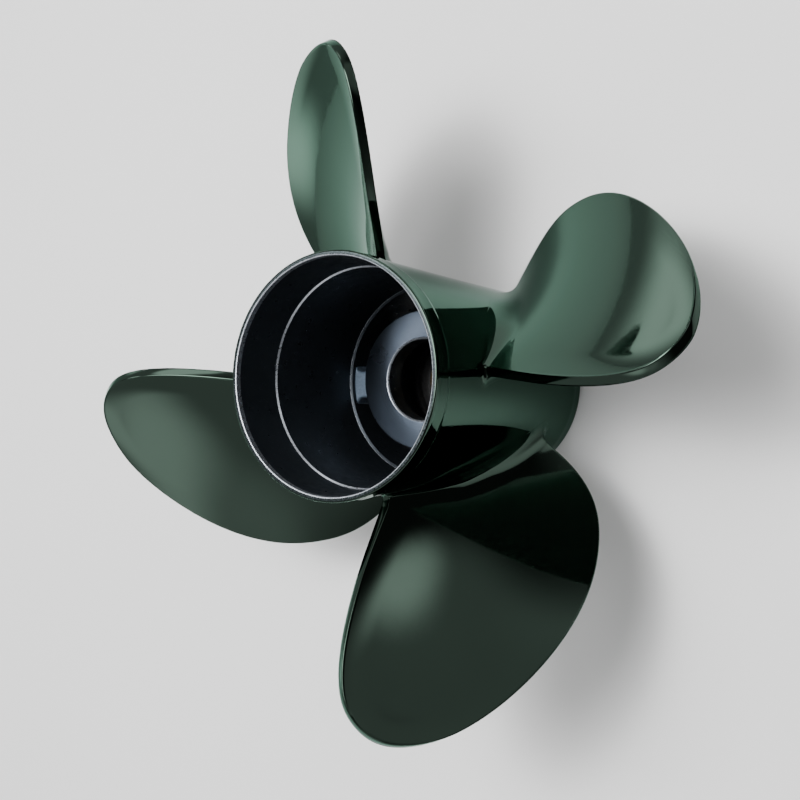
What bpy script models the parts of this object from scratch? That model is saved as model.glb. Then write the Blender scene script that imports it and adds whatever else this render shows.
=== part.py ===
"""Four-blade left-hand marine propeller with the exhaust led out through a hollow barrel.

The propeller stands on the forward end of its barrel. +Z is the shaft axis and points aft.
Blades are numbered anticlockwise seen from aft: right, top, left and lower in the photograph.
"""
import math

import bmesh
import bpy

MM = 0.001
GAP = 0.3 * MM

# Barrel, outside radius at heights above the forward end
BARREL_LENGTH = 161.0 * MM
RIM_RADIUS = 58.0 * MM
BAND_FOOT_RADIUS = 57.1 * MM
BAND_HEIGHT = 11.0 * MM
BAND_STEP = 0.5 * MM
BAND_FLARE = 0.9 * MM
MID_RADIUS = 54.1 * MM
FRONT_RADIUS = 51.2 * MM
FRONT_BAND_HEIGHT = 6.0 * MM
FRONT_ROUNDING = 1.2 * MM

# Barrel, inside
RIM_BORE_RADIUS = 55.4 * MM
STEP_DEPTH = 28.6 * MM
STEP_RADIUS = 52.5 * MM
STEP_WIDTH = 0.8 * MM
THROAT_DEPTH = 88.0 * MM
THROAT_RADIUS = 50.1 * MM
THROAT_SHOULDER = 1.4 * MM
PASSAGE_RADIUS = 46.9 * MM
RIM_CHAMFER = 0.6 * MM
BARREL_SEGMENTS = 96
BARREL_STEPS = 7

# Inner hub tube
HUB_AFT_DEPTH = 81.0 * MM
HUB_RADIUS = 35.6 * MM
HUB_FRONT_RADIUS = 36.4 * MM
HUB_BORE_RADIUS = 20.7 * MM
HUB_BORE_CHAMFER = 0.8 * MM
HUB_LIP_LENGTH = 12.0 * MM
BUSH_BORE_RADIUS = 28.0 * MM
HUB_FRONT_RECESS = 6.0 * MM
HUB_CHAMFER = 0.7 * MM
HUB_SEGMENTS = 72

# Ribs between the hub tube and the barrel
RIB_ANGLES_DEG = (186.0, 306.0, 66.0)
RIB_WIDTH = 14.0 * MM
RIB_FILLET = 3.5 * MM
RIB_AFT_DEPTH = 91.0 * MM
RIB_FRONT = 8.0 * MM
RIB_FILLET_STEPS = 4
RIB_ARC_STEPS = 6

# Rubber bush and splined sleeve inside the hub tube
BUSH_BOTTOM = 10.0 * MM
BUSH_TOP = 44.0 * MM
SLEEVE_RADIUS = 16.0 * MM
SLEEVE_BOTTOM = 6.0 * MM
SLEEVE_TOP = 47.0 * MM
SPLINE_TEETH = 15
SPLINE_MAJOR_RADIUS = 13.2 * MM
SPLINE_MINOR_RADIUS = 11.6 * MM

# Blades: edge control points as radius in mm and angle in degrees, from the trailing root round the tip
BLADE_COUNT = 4
EDGE_POINTS = (
    (57.5, 6.6),
    (130.5, -0.4),
    (164.6, 5.0),
    (170.6, 12.9),
    (166.8, 21.4),
    (155.0, 31.8),
    (140.2, 42.6),
    (119.8, 52.6),
    (94.7, 59.8),
    (66.2, 60.4),
)
LEADING_ROOT_ANGLE = 61.0
LEADING_ROOT_RADIUS = 48.0 * MM
FACE_DEPTH = 34.3 * MM
RAKE = (-23.7 * MM, -39.6 * MM, 30.0 * MM)
RADIAL_UNIT = 116.0 * MM
PITCH_ROOT = 529.0 * MM
PITCH_TIP = 643.0 * MM
ROOT_THICKNESS = 11.0 * MM
TIP_THICKNESS = 4.2 * MM
TRAILING_THICKNESS = 4.3 * MM
LEADING_THICKNESS = 1.8 * MM
FILLET_RADIUS = 7.0 * MM
FILLET_SHARE = 0.62
TIP_MARGIN = 0.6 * MM
BLADE_STATIONS = 20
BLADE_COLUMNS = 16
ROOT_CAP_COLUMNS = 4
ROOT_SPANS = (0.0, 0.008, 0.018, 0.032, 0.05)


def material(name, colour, metallic, roughness, coat):
    """Makes one plain surface material."""
    made = bpy.data.materials.new(name)
    made.use_nodes = True
    shader = made.node_tree.nodes["Principled BSDF"]
    shader.inputs["Base Color"].default_value = (*colour, 1.0)
    shader.inputs["Metallic"].default_value = metallic
    shader.inputs["Roughness"].default_value = roughness
    shader.inputs["Coat Weight"].default_value = coat
    made.diffuse_color = (*colour, 1.0)
    return made


def add_object(name, verts, faces, surface, sharp_deg):
    """Makes an object from points and faces, with its faces pointing out."""
    mesh = bpy.data.meshes.new(name)
    mesh.from_pydata(verts, [], faces)
    work = bmesh.new()
    work.from_mesh(mesh)
    bmesh.ops.recalc_face_normals(work, faces=work.faces)
    work.to_mesh(mesh)
    work.free()
    mesh.materials.append(surface)
    mesh.shade_smooth()
    mesh.set_sharp_from_angle(angle=math.radians(sharp_deg))
    made = bpy.data.objects.new(name, mesh)
    bpy.context.scene.collection.objects.link(made)
    return made


def lathe(name, profile, segments, surface, sharp_deg=30.0):
    """Turns a closed profile of radius and height round the shaft axis."""
    verts = []
    for k in range(segments):
        angle = 2.0 * math.pi * k / segments
        for radius, height in profile:
            verts.append((radius * math.cos(angle), radius * math.sin(angle), height))
    count = len(profile)
    faces = []
    for k in range(segments):
        here = k * count
        there = ((k + 1) % segments) * count
        for i in range(count):
            j = (i + 1) % count
            faces.append((here + i, there + i, there + j, here + j))
    return add_object(name, verts, faces, surface, sharp_deg)


def barrel_radius(height):
    """Outside radius of the barrel ahead of the aft band, as a smooth curve through three radii."""
    foot = BAND_FOOT_RADIUS + BAND_FLARE
    along = 1.0 - height / BARREL_LENGTH
    straight = foot + (FRONT_RADIUS - foot) * along
    return straight + (MID_RADIUS - (foot + FRONT_RADIUS) / 2.0) * 4.0 * along * (1.0 - along)


def barrel_profile():
    """Closed section of the barrel wall, up the outside and down the inside."""
    top = BARREL_LENGTH
    band = top - BAND_HEIGHT
    outside = [
        (FRONT_RADIUS - FRONT_ROUNDING, 0.0),
        (FRONT_RADIUS - 0.29 * FRONT_ROUNDING, 0.29 * FRONT_ROUNDING),
        (FRONT_RADIUS, FRONT_ROUNDING),
        (FRONT_RADIUS, FRONT_BAND_HEIGHT),
    ]
    for k in range(1, BARREL_STEPS + 1):
        height = FRONT_BAND_HEIGHT + (band - 1.5 * MM - FRONT_BAND_HEIGHT) * k / BARREL_STEPS
        outside.append((barrel_radius(height), height))
    outside += [
        (barrel_radius(band) + BAND_STEP, band + 1.0 * MM),
        (RIM_RADIUS - 0.1 * MM, top - 3.0 * MM),
        (RIM_RADIUS, top - RIM_CHAMFER),
        (RIM_RADIUS - 0.5 * RIM_CHAMFER, top),
    ]
    inside = [
        (RIM_BORE_RADIUS + RIM_CHAMFER, top),
        (RIM_BORE_RADIUS, top - 1.2 * MM),
        (STEP_RADIUS + STEP_WIDTH, top - STEP_DEPTH + STEP_WIDTH),
        (STEP_RADIUS, top - STEP_DEPTH),
        (THROAT_RADIUS, top - THROAT_DEPTH),
        (THROAT_RADIUS - THROAT_SHOULDER, top - THROAT_DEPTH - 1.0 * MM),
        (PASSAGE_RADIUS, 0.8 * MM),
        (PASSAGE_RADIUS + 0.5 * MM, 0.0),
    ]
    return outside + inside


def passage_radius(height):
    """Inside radius of the barrel beside the ribs."""
    low = 0.8 * MM
    high = BARREL_LENGTH - THROAT_DEPTH - 1.0 * MM
    share = (height - low) / (high - low)
    return PASSAGE_RADIUS + (THROAT_RADIUS - THROAT_SHOULDER - PASSAGE_RADIUS) * share


def hub_radius(height):
    """Outside radius of the inner hub tube."""
    top = BARREL_LENGTH - HUB_AFT_DEPTH
    share = (height - HUB_FRONT_RECESS) / (top - HUB_FRONT_RECESS)
    return HUB_FRONT_RADIUS + (HUB_RADIUS - HUB_FRONT_RADIUS) * share


def hub_profile():
    """Closed section of the inner hub tube."""
    top = BARREL_LENGTH - HUB_AFT_DEPTH
    bottom = HUB_FRONT_RECESS
    lip = top - HUB_LIP_LENGTH
    return [
        (HUB_FRONT_RADIUS - HUB_CHAMFER, bottom),
        (HUB_FRONT_RADIUS, bottom + HUB_CHAMFER),
        (HUB_RADIUS, top - HUB_CHAMFER),
        (HUB_RADIUS - HUB_CHAMFER, top),
        (HUB_BORE_RADIUS + HUB_BORE_CHAMFER, top),
        (HUB_BORE_RADIUS, top - HUB_BORE_CHAMFER),
        (HUB_BORE_RADIUS, lip),
        (BUSH_BORE_RADIUS, lip - 4.0 * MM),
        (BUSH_BORE_RADIUS, bottom + HUB_CHAMFER),
        (BUSH_BORE_RADIUS + HUB_CHAMFER, bottom),
    ]


def rib_loop(height, inset):
    """Points round a rib that lies along +X at one height, outer end first."""
    half = RIB_WIDTH / 2.0 - inset
    wide = half + RIB_FILLET
    points = []
    ends = ((passage_radius(height) - GAP, 1.0), (hub_radius(height) + GAP, -1.0))
    for radius, sign in ends:
        wall_x = math.sqrt(radius * radius - wide * wide)
        flank = []
        for k in range(RIB_FILLET_STEPS, 0, -1):
            turn = math.pi / 2.0 * k / RIB_FILLET_STEPS
            x = wall_x - sign * RIB_FILLET * (1.0 - math.cos(turn))
            flank.append((x, half + RIB_FILLET * (1.0 - math.sin(turn))))
        arc = []
        for k in range(RIB_ARC_STEPS + 1):
            y = wide * (1.0 - 2.0 * k / RIB_ARC_STEPS)
            arc.append((math.sqrt(radius * radius - y * y), y))
        end = flank + arc + [(x, -y) for x, y in reversed(flank)]
        points += [(x, sign * y) for x, y in end]
    return points


def build_rib(name, angle_deg, surface):
    """Rib with filleted flanks from the hub tube to the barrel wall."""
    top = BARREL_LENGTH - RIB_AFT_DEPTH
    levels = (
        (RIB_FRONT, 1.2 * MM),
        (RIB_FRONT + 1.5 * MM, 0.0),
        (top - 2.0 * MM, 0.0),
        (top - 0.6 * MM, 0.6 * MM),
        (top, 2.0 * MM),
    )
    turn = math.radians(angle_deg)
    verts = []
    for height, inset in levels:
        for x, y in rib_loop(height, inset):
            px = x * math.cos(turn) - y * math.sin(turn)
            py = x * math.sin(turn) + y * math.cos(turn)
            verts.append((px, py, height))
    count = len(verts) // len(levels)
    faces = [tuple(range(count)), tuple(range((len(levels) - 1) * count, len(levels) * count))]
    for level in range(len(levels) - 1):
        low = level * count
        for i in range(count):
            j = (i + 1) % count
            faces.append((low + i, low + j, low + count + j, low + count + i))
    return add_object(name, verts, faces, surface, 35.0)


def build_bush(surface):
    """Rubber bush pressed into the hub tube."""
    outer = BUSH_BORE_RADIUS - GAP
    inner = SLEEVE_RADIUS + GAP
    soft = 1.0 * MM
    profile = [
        (outer - soft, BUSH_BOTTOM),
        (outer, BUSH_BOTTOM + soft),
        (outer, BUSH_TOP - soft),
        (outer - soft, BUSH_TOP),
        (inner + soft, BUSH_TOP),
        (inner, BUSH_TOP - soft),
        (inner, BUSH_BOTTOM + soft),
        (inner + soft, BUSH_BOTTOM),
    ]
    return lathe("rubber_bush", profile, HUB_SEGMENTS, surface)


def build_sleeve(surface):
    """Brass sleeve with internal spline teeth."""
    radii = (1.0, 1.0, 1.0, 0.5, 0.0, 0.0, 0.0, 0.5)
    count = SPLINE_TEETH * len(radii)
    edge = 0.8 * MM
    rings = (
        ("out", SLEEVE_RADIUS - edge, SLEEVE_BOTTOM),
        ("out", SLEEVE_RADIUS, SLEEVE_BOTTOM + edge),
        ("out", SLEEVE_RADIUS, SLEEVE_TOP - edge),
        ("out", SLEEVE_RADIUS - edge, SLEEVE_TOP),
        ("in", 0.0, SLEEVE_TOP),
        ("in", 0.0, SLEEVE_BOTTOM),
    )
    verts = []
    for kind, radius, height in rings:
        for k in range(count):
            angle = 2.0 * math.pi * k / count
            r = radius
            if kind == "in":
                tooth = radii[k % len(radii)]
                r = SPLINE_MINOR_RADIUS + (SPLINE_MAJOR_RADIUS - SPLINE_MINOR_RADIUS) * tooth
            verts.append((r * math.cos(angle), r * math.sin(angle), height))
    faces = []
    for i in range(len(rings)):
        low = i * count
        high = ((i + 1) % len(rings)) * count
        for k in range(count):
            j = (k + 1) % count
            faces.append((low + k, low + j, high + j, high + k))
    return add_object("splined_sleeve", verts, faces, surface, 30.0)


def edge_curve(samples):
    """Blade edge as a clamped cubic curve through its control points, as radius and angle."""
    points = []
    for radius, angle in EDGE_POINTS:
        turn = math.radians(angle)
        points.append((radius * MM * math.cos(turn), radius * MM * math.sin(turn)))
    spans = len(points) - 3
    knots = [0.0] * 3 + [k / spans for k in range(spans + 1)] + [1.0] * 3
    curve = []
    for n in range(samples + 1):
        u = n / samples
        span = min(int(u * spans), spans - 1) + 3
        work = [points[span - 3 + i] for i in range(4)]
        for level in range(1, 4):
            for i in range(3, level - 1, -1):
                left = knots[span - 3 + i]
                right = knots[span + 1 + i - level]
                share = (u - left) / (right - left)
                ax, ay = work[i - 1]
                bx, by = work[i]
                work[i] = (ax + (bx - ax) * share, ay + (by - ay) * share)
        x, y = work[3]
        curve.append((math.hypot(x, y), math.atan2(y, x)))
    return curve


def split_edge(curve):
    """Trailing and leading edges as lists of radius and angle that rise to the tip."""
    tip = max(range(len(curve)), key=lambda k: curve[k][0])
    trailing = curve[: tip + 1]
    leading = curve[tip:]
    leading.reverse()
    leading.insert(0, (LEADING_ROOT_RADIUS, math.radians(LEADING_ROOT_ANGLE)))
    return trailing, leading


def angle_at(edge, radius):
    """Angle of an edge at a radius."""
    if radius <= edge[0][0]:
        return edge[0][1]
    for low, high in zip(edge, edge[1:]):
        if radius <= high[0]:
            share = (radius - low[0]) / max(high[0] - low[0], 1e-12)
            return low[1] + (high[1] - low[1]) * share
    return edge[-1][1]


def face_height(radius, angle):
    """Height of the blade's aft face at a radius and an angle."""
    s = (radius - RIM_RADIUS) / RADIAL_UNIT
    depth = FACE_DEPTH + RAKE[0] * s + RAKE[1] * s * s + RAKE[2] * s * s * s
    lead = (PITCH_ROOT + (PITCH_TIP - PITCH_ROOT) * s) / (2.0 * math.pi)
    return BARREL_LENGTH - depth - lead * angle


def face_point(edges, radius, v):
    """Point on the aft face at a radius, v from the trailing to the leading edge."""
    start = angle_at(edges[0], radius)
    end = angle_at(edges[1], radius)
    angle = start + (end - start) * v
    return (radius * math.cos(angle), radius * math.sin(angle), face_height(radius, angle))


def face_normal(edges, radius, v):
    """Unit normal of the aft face, pointing aft."""
    step = 0.5 * MM
    limit = edges[0][-1][0] - 1.5 * step
    radius = min(radius, limit)
    a = face_point(edges, radius - step, v)
    b = face_point(edges, radius + step, v)
    c = face_point(edges, radius, max(v - 0.02, 0.0))
    d = face_point(edges, radius, min(v + 0.02, 1.0))
    p = [b[i] - a[i] for i in range(3)]
    q = [d[i] - c[i] for i in range(3)]
    n = [p[1] * q[2] - p[2] * q[1], p[2] * q[0] - p[0] * q[2], p[0] * q[1] - p[1] * q[0]]
    size = math.sqrt(n[0] ** 2 + n[1] ** 2 + n[2] ** 2)
    sign = 1.0 if n[2] > 0.0 else -1.0
    return [sign * c / size for c in n]


def thickness(radius, v):
    """Blade thickness at a radius and a place along the chord."""
    tip = max(0.0, min(1.0, (radius - MID_RADIUS) / (RADIAL_UNIT - 2.0 * MM)))
    thick = TIP_THICKNESS + (ROOT_THICKNESS - TIP_THICKNESS) * (1.0 - tip) ** 1.25
    ends = TRAILING_THICKNESS + (LEADING_THICKNESS - TRAILING_THICKNESS) * v
    hump = 4.0 * v * (1.0 - v)
    return ends + max(thick - ends, 0.0) * hump


def root_radius(edges, v):
    """Radius where a chord place of the aft face meets the barrel."""
    radius = MID_RADIUS
    for _ in range(12):
        height = face_point(edges, radius, v)[2]
        radius = barrel_radius(height) + GAP
    return radius


def fillet(height):
    """Sideways growth of the blade near the barrel."""
    height = height + FILLET_RADIUS * (1.0 - math.sqrt(1.0 - FILLET_SHARE ** 2))
    if height >= FILLET_RADIUS:
        return 0.0
    rest = 1.0 - height / FILLET_RADIUS
    return FILLET_RADIUS * (1.0 - math.sqrt(max(1.0 - rest * rest, 0.0)))


def on_barrel(point):
    """Moves a point straight out or in so that it stands on the barrel."""
    radius = math.hypot(point[0], point[1])
    target = barrel_radius(point[2]) + GAP
    share = target / radius
    return (point[0] * share, point[1] * share, point[2])


def blade_section(edges, span, tip_radius):
    """Closed loop of points at one spanwise place, aft face first and then the forward face."""
    aft = []
    forward = []
    for k in range(BLADE_COLUMNS + 1):
        v = 0.5 - 0.5 * math.cos(math.pi * k / BLADE_COLUMNS)
        base = root_radius(edges, v)
        radius = base + (tip_radius - base) * span
        point = face_point(edges, radius, v)
        normal = face_normal(edges, radius, v)
        grow = fillet(radius - base)
        thick = thickness(radius, v) + grow
        aft.append(tuple(point[i] + normal[i] * grow for i in range(3)))
        forward.append(tuple(point[i] - normal[i] * thick for i in range(3)))
    if span == 0.0:
        aft = [on_barrel(p) for p in aft]
        forward = [on_barrel(p) for p in forward]
    return aft, forward


def blade_shell(edges):
    """Points and faces of one blade in the place of blade 1, with its root standing on the barrel."""
    tip_radius = edges[0][-1][0] - TIP_MARGIN
    columns = BLADE_COLUMNS + 1
    count = 2 * columns
    spans = list(ROOT_SPANS)
    start = spans[-1]
    for k in range(1, BLADE_STATIONS + 1):
        spans.append(start + (1.0 - start) * math.sin(math.pi / 2.0 * k / BLADE_STATIONS))
    verts = []
    for span in spans:
        aft, forward = blade_section(edges, span, tip_radius)
        verts += aft + forward[::-1]
    faces = []
    for level in range(len(spans) - 1):
        low = level * count
        for i in range(count):
            j = (i + 1) % count
            faces.append((low + i, low + j, low + count + j, low + count + i))
    last = (len(spans) - 1) * count
    for i in range(columns - 1):
        faces.append((last + i, last + i + 1, last + count - 2 - i, last + count - 1 - i))
    add_root_face(verts, faces, columns)
    return verts, faces


def add_root_face(verts, faces, columns):
    """Closes the root with a face that follows the barrel."""
    count = 2 * columns
    previous = list(range(columns))
    for step in range(1, ROOT_CAP_COLUMNS + 1):
        share = step / ROOT_CAP_COLUMNS
        if step == ROOT_CAP_COLUMNS:
            current = [count - 1 - i for i in range(columns)]
        else:
            current = []
            for i in range(columns):
                a = verts[i]
                b = verts[count - 1 - i]
                middle = tuple(a[c] + (b[c] - a[c]) * share for c in range(3))
                current.append(len(verts))
                verts.append(on_barrel(middle))
        for i in range(columns - 1):
            faces.append((previous[i], previous[i + 1], current[i + 1], current[i]))
        previous = current


def add_blade(name, index, verts, faces, surface):
    """Turns the blade shell to its place, closes the ends of its root face and adds it."""
    turn = 2.0 * math.pi * index / BLADE_COUNT
    cos = math.cos(turn)
    sin = math.sin(turn)
    turned = [(x * cos - y * sin, x * sin + y * cos, z) for x, y, z in verts]
    mesh = bpy.data.meshes.new(name)
    mesh.from_pydata(turned, [], faces)
    work = bmesh.new()
    work.from_mesh(mesh)
    holes = [e for e in work.edges if len(e.link_faces) == 1]
    bmesh.ops.holes_fill(work, edges=holes, sides=0)
    bmesh.ops.triangulate(work, faces=[f for f in work.faces if len(f.verts) > 4])
    bmesh.ops.recalc_face_normals(work, faces=work.faces)
    work.to_mesh(mesh)
    work.free()
    mesh.materials.append(surface)
    mesh.shade_smooth()
    mesh.set_sharp_from_angle(angle=math.radians(40.0))
    made = bpy.data.objects.new(name, mesh)
    bpy.context.scene.collection.objects.link(made)
    return made


def main():
    """Builds every piece."""
    for old in list(bpy.data.objects):
        bpy.data.objects.remove(old, do_unlink=True)
    paint = material("gloss_paint", (0.035, 0.055, 0.048), 0.0, 0.18, 0.6)
    dark = material("dark_casting", (0.045, 0.05, 0.06), 0.6, 0.42, 0.0)
    rubber = material("bush_rubber", (0.02, 0.02, 0.02), 0.0, 0.8, 0.0)
    brass = material("sleeve_brass", (0.6, 0.45, 0.2), 1.0, 0.35, 0.0)
    lathe("barrel", barrel_profile(), BARREL_SEGMENTS, paint)
    lathe("inner_hub", hub_profile(), HUB_SEGMENTS, dark)
    for index, angle in enumerate(RIB_ANGLES_DEG):
        build_rib("rib_" + str(index + 1), angle, dark)
    edges = split_edge(edge_curve(400))
    verts, faces = blade_shell(edges)
    for index in range(BLADE_COUNT):
        add_blade("blade_" + str(index + 1), index, verts, faces, paint)
    build_bush(rubber)
    build_sleeve(brass)


main()
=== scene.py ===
"""Looks of the four-blade boat propeller: one gloss painted casting, a turned hub, a bush and a sleeve."""
import math

import bmesh
import bpy
import numpy as np
from mathutils import Euler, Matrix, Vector


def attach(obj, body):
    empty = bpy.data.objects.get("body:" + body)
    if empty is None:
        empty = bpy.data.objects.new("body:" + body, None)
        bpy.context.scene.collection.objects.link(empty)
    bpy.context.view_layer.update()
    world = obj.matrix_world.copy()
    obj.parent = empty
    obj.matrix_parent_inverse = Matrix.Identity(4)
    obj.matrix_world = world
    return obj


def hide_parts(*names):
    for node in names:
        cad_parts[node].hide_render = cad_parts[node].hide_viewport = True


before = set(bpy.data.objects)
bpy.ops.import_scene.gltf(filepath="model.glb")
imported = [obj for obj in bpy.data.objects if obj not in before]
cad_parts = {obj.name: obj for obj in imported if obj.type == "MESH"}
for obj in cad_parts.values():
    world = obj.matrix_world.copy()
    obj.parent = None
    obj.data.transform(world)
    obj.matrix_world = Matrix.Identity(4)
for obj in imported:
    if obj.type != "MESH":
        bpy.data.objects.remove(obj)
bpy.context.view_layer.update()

MM = 0.001
BODY = "root"
# A rounded corner takes at most this share of the sides next to it
ROUNDING_REACH = 0.48

# Camera, worked out from the outline of the propeller in the photograph
CAMERA_PLACE = (0.34344, 0.00229, 0.63128)
CAMERA_TURN_DEG = (6.63, 34.481, 3.765)
CAMERA_LENS = 56.87
CAMERA_SENSOR = 36.0
CAMERA_SHIFT = (0.0444, -0.1594)

# Studio lights: name, azimuth, angle from overhead and half width in degrees, radiance, height over width,
# share of the width that is at full strength, and metres away
LIGHT_TARGET = (0.0, 0.0, 0.08)
SOFTBOXES = (
    ("overhead", 112.0, 11.0, 21.0, 17.0, 1.0, 0.4, 1.5),
    ("hub_key", 112.0, 11.0, 8.0, 40.0, 1.0, 0.4, 1.5),
    ("hub_glow", 158.0, 31.0, 9.0, 13.0, 1.0, 0.3, 3.0),
    ("right_spot", 37.0, 56.0, 14.0, 2.4, 1.0, 0.1, 3.0),
    ("right_glow", 46.0, 44.0, 30.0, 0.75, 1.0, 0.4, 3.0),
    ("lower_glow", 285.0, 47.0, 20.0, 0.5, 1.0, 0.2, 3.0),
    ("lower_core", 256.0, 54.0, 22.0, 2.2, 0.6, 0.1, 3.0),
    ("left_wall", 192.0, 89.0, 14.0, 4.4, 0.8, 0.0, 3.0),
    ("upper_left_wall", 136.0, 82.0, 13.0, 4.0, 1.0, 0.0, 3.0),
    ("upper_spot", 108.0, 57.0, 14.0, 4.0, 1.0, 0.5, 3.0),
)
# The surround is pale on the left, and dark on the right and overhead
WORLD_PALE = 0.80
WORLD_DARK = 0.06
WORLD_AXIS = (0.94, 0.34, 0.0)
WORLD_DARK_FROM = 0.60
WORLD_PALE_FROM = 0.10
WORLD_TOP = 0.20
WORLD_TOP_FROM = 0.85
WORLD_SIDE_FROM = 0.62
# The floor's corner on the lower left and its corner on the upper right
FLOOR_FROM = (-1.0, -2.2)
FLOOR_TO = (2.2, 2.2)

# Barrel, outside, heights above the forward end
BARREL_LENGTH = 161.0 * MM
RIM_RADIUS = 58.0 * MM
BAND_FOOT_RADIUS = 57.1 * MM
BAND_HEIGHT = 11.0 * MM
BAND_STEP = 0.5 * MM
BAND_FLARE = 0.9 * MM
MID_RADIUS = 54.1 * MM
FRONT_RADIUS = 51.2 * MM
FRONT_BAND_HEIGHT = 6.0 * MM
FRONT_ROUNDING = 1.2 * MM
# The front band ends in a slope from a little before its height to a little after
FRONT_SLOPE_BEFORE = 0.4 * MM
FRONT_SLOPE_AFTER = 0.6 * MM
# The aft band rises in a soft step that starts ahead of its foot
BAND_RISE_START = 1.8 * MM
BAND_RISE_LENGTH = 3.4 * MM
BAND_TOP_INSET = 0.35 * MM
BAND_TOP_DEPTH = 4.0 * MM
LIP_INSET = 0.05 * MM
LIP_DEPTH = 2.5 * MM
LIP_ROUNDING = 0.8 * MM
ROUNDING_STEPS = 6
BARREL_STEPS = 44
BAND_RISE_STEPS = 8

# Barrel, inside
RIM_BORE_RADIUS = 55.4 * MM
RIM_CHAMFER = 0.6 * MM
RIM_LAND_DEPTH = 3.0 * MM
RIM_LAND_TAPER = 0.1 * MM
STEP_DEPTH = 28.6 * MM
STEP_RADIUS = 52.5 * MM
STEP_WIDTH = 0.8 * MM
# Heights of the step's top and nose, as shares of its width
STEP_TOP_SHARE = 1.1
STEP_NOSE_SHARE = 0.3
THROAT_DEPTH = 88.0 * MM
THROAT_RADIUS = 50.1 * MM
THROAT_SHOULDER = 1.4 * MM
SHOULDER_SLOPE = 0.6 * MM
SHOULDER_FOOT = 1.0 * MM
PASSAGE_RADIUS = 46.9 * MM
PASSAGE_START = 0.8 * MM
PASSAGE_FLARE = 0.5 * MM
BARREL_SEGMENTS = 288

# Where the barrel's surfaces change, and their places in its list of materials
FRONT_PAINT_HEIGHT = 0.7 * MM
STEP_BRIGHT_HEIGHT = 1.1 * MM
SHOULDER_BRIGHT_BELOW = 0.12 * MM
SHOULDER_BRIGHT_ABOVE = 0.25 * MM
PAINTED, BRIGHT, DARK, RIM_FACE = range(4)

# Inner hub tube
HUB_AFT_DEPTH = 81.0 * MM
HUB_RADIUS = 35.6 * MM
HUB_FRONT_RADIUS = 36.4 * MM
HUB_BORE_RADIUS = 20.7 * MM
HUB_BORE_CHAMFER = 0.8 * MM
HUB_LIP_LENGTH = 12.0 * MM
BUSH_BORE_RADIUS = 28.0 * MM
HUB_LIP_SLOPE = 4.0 * MM
HUB_FRONT_RECESS = 6.0 * MM
HUB_FRONT_CHAMFER = 0.6 * MM
HUB_ROUNDING = 0.7 * MM
HUB_SEGMENTS = 216
# How far under the aft face its surface and the chamfer's still count, and places in the list of materials
HUB_FACE_MARGIN = 0.1 * MM
HUB_CHAMFER_MARGIN = 0.3 * MM
HUB_TURNED, HUB_DARK, HUB_CHAMFER = range(3)
# Distance between the rings that turning left on the aft face
RING_SPACING = 0.45 * MM

# Ribs
RIB_ANGLES_DEG = (186.0, 306.0, 66.0)
RIB_WIDTH = 14.0 * MM
RIB_FILLET = 3.5 * MM
RIB_AFT_DEPTH = 91.0 * MM
RIB_FRONT = 8.0 * MM
RIB_FRONT_INSET = 1.2 * MM
RIB_FRONT_CHAMFER = 1.5 * MM
RIB_ROUNDING = 1.6 * MM
RIB_SINK = 0.1 * MM
RIB_STEPS = 11
RIB_ARC_STEPS = 8

# Bush and sleeve
BUSH_BOTTOM = 10.0 * MM
BUSH_TOP = 44.0 * MM
BUSH_CLEARANCE = 0.05 * MM
BUSH_ROUNDING = 0.5 * MM
GROOVE_DEPTH = 2.5 * MM
GROOVE_HALF_WIDTH = 2.2 * MM
GROOVE_FLARE = 1.4
SLEEVE_RADIUS = 16.0 * MM
SLEEVE_BOTTOM = 6.0 * MM
SLEEVE_TOP = 47.0 * MM
SLEEVE_CHAMFER = 0.8 * MM
SPLINE_TEETH = 15
SPLINE_MAJOR_RADIUS = 13.2 * MM
SPLINE_MINOR_RADIUS = 11.6 * MM
SPLINE_CHAMFER = 1.2 * MM
SPLINE_RELIEF = 0.3 * MM
TOOTH_FLANK = 1.1
TOOTH_SAMPLES = 16

# Blades, edge control points as radius in mm and angle in degrees
BLADE_COUNT = 4
EDGE_POINTS = (
    (57.5, 6.6),
    (130.5, -0.4),
    (164.6, 5.0),
    (170.6, 12.9),
    (166.8, 21.4),
    (155.0, 31.8),
    (140.2, 42.6),
    (119.8, 52.6),
    (94.7, 59.8),
    (66.2, 60.4),
)
# Keeps the smooth outline inside the faceted one of the solid model
OUTLINE_TRIM = 0.9996
LEADING_ROOT_ANGLE = 61.0
LEADING_ROOT_RADIUS = 48.0 * MM
FACE_DEPTH = 34.3 * MM
RAKE = (-23.7 * MM, -39.6 * MM, 30.0 * MM)
RADIAL_UNIT = 116.0 * MM
PITCH_ROOT = 529.0 * MM
PITCH_TIP = 643.0 * MM
ROOT_THICKNESS = 11.0 * MM
TIP_THICKNESS = 4.2 * MM
# The middle thins over the reach from root to tip by one power, and its hump dies out at the tip by the other
THINNING_REACH = RADIAL_UNIT - 2.0 * MM
THINNING_POWER = 1.25
HUMP_POWER = 6
TRAILING_THICKNESS = 4.3 * MM
LEADING_THICKNESS = 1.8 * MM
CUP_HEIGHT = 1.3 * MM
CUP_WIDTH = 11.0 * MM
CUP_START_RADIUS = 62.0 * MM
CUP_FULL_RADIUS = 95.0 * MM
# The cup fades out along the edge beyond the tip
CUP_FADE_START = 5.0 * MM
CUP_FADE_LENGTH = 50.0 * MM
EDGE_ROUNDING = 0.6 * MM
EDGE_ROUNDING_SHARE = 0.45
EDGE_SLANT = 1.7 * MM
TRAILING_FILLET = 4.5 * MM
MIDDLE_FILLET = 11.5 * MM
LEADING_FILLET = 8.0 * MM
# Places across the blade where the fillet reaches its middle radius and leaves it again
FILLET_MIDDLE_FROM = 0.42
FILLET_MIDDLE_TO = 0.6
SKIRT = 0.7 * MM
SKIRT_FOOT = 1.6
SKIRT_LIFT = 0.012 * MM
SKIRT_SINK = 0.15 * MM
TIP_ARC_SHARE = 0.10

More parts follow.
